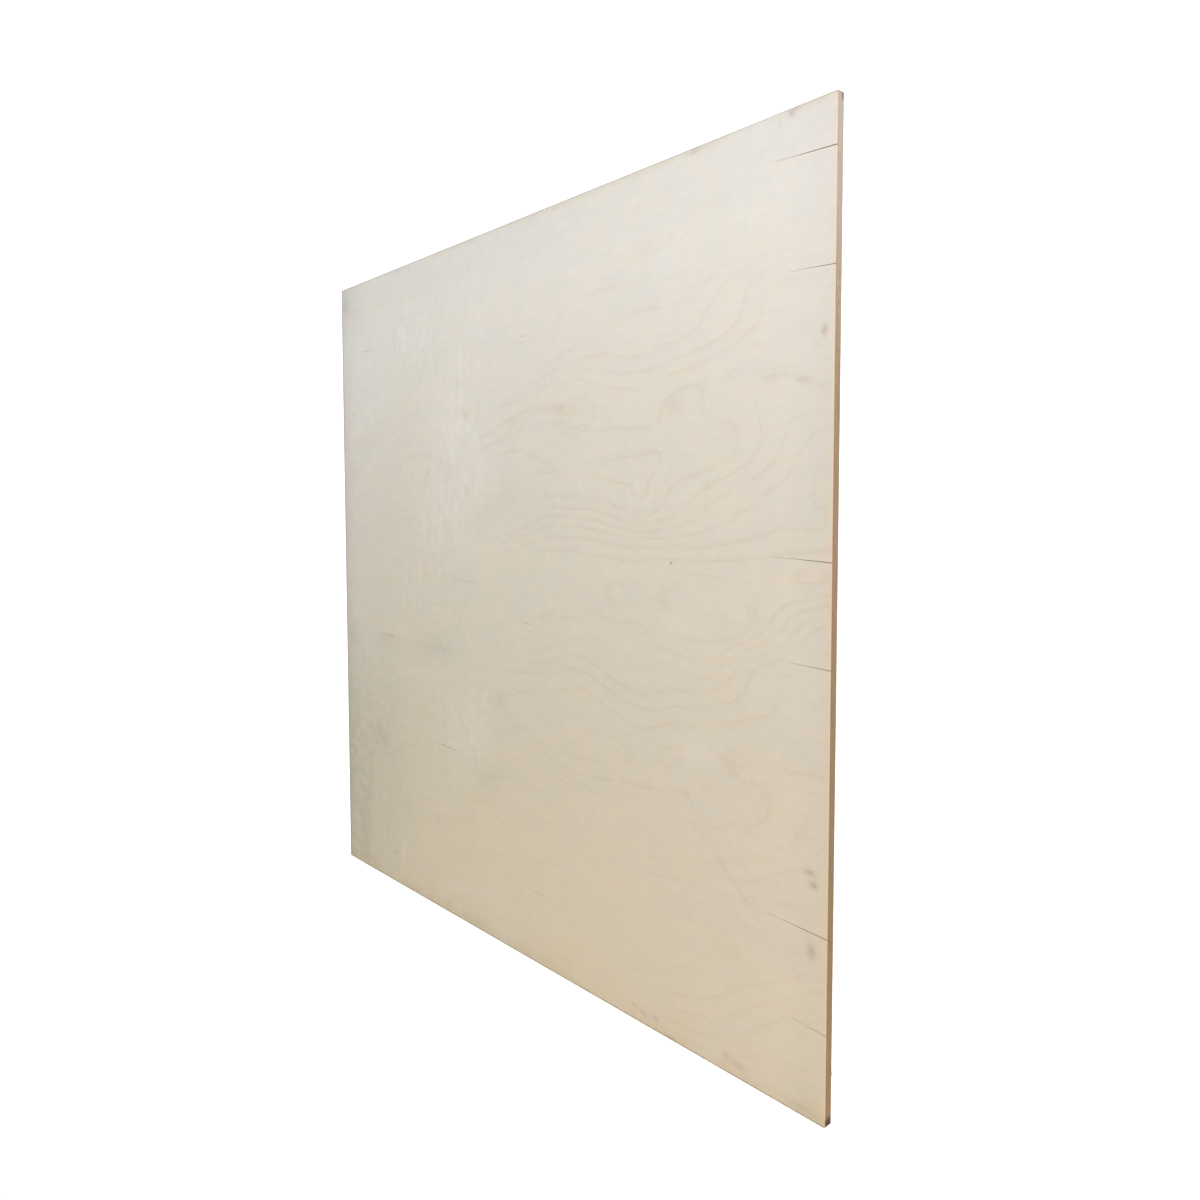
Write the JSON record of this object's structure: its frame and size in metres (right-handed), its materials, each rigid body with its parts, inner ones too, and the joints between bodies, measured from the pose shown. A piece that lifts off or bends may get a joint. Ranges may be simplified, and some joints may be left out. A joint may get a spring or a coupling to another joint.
{
  "type": "plywood sheet",
  "caption": "Flat square sheet of birch plywood, cross-laid veneers with sawn edges, split and worn along one end.",
  "frame": {"origin": "under the middle of the back face, on the surface that the sheet lies on", "axes": "+Z out of the better face, +X along the grain of both faces towards the split end, +Y across the grain"},
  "size_m": [1.525, 1.525, 0.015],
  "materials": {
    "birch_plywood": "bare sanded birch veneer on both faces, sawn unsealed edges showing the plies, dull with a slight sheen along the grain"
  },
  "bodies": {
    "root": {"plywood_sheet": "birch_plywood"}
  },
  "joints": []
}
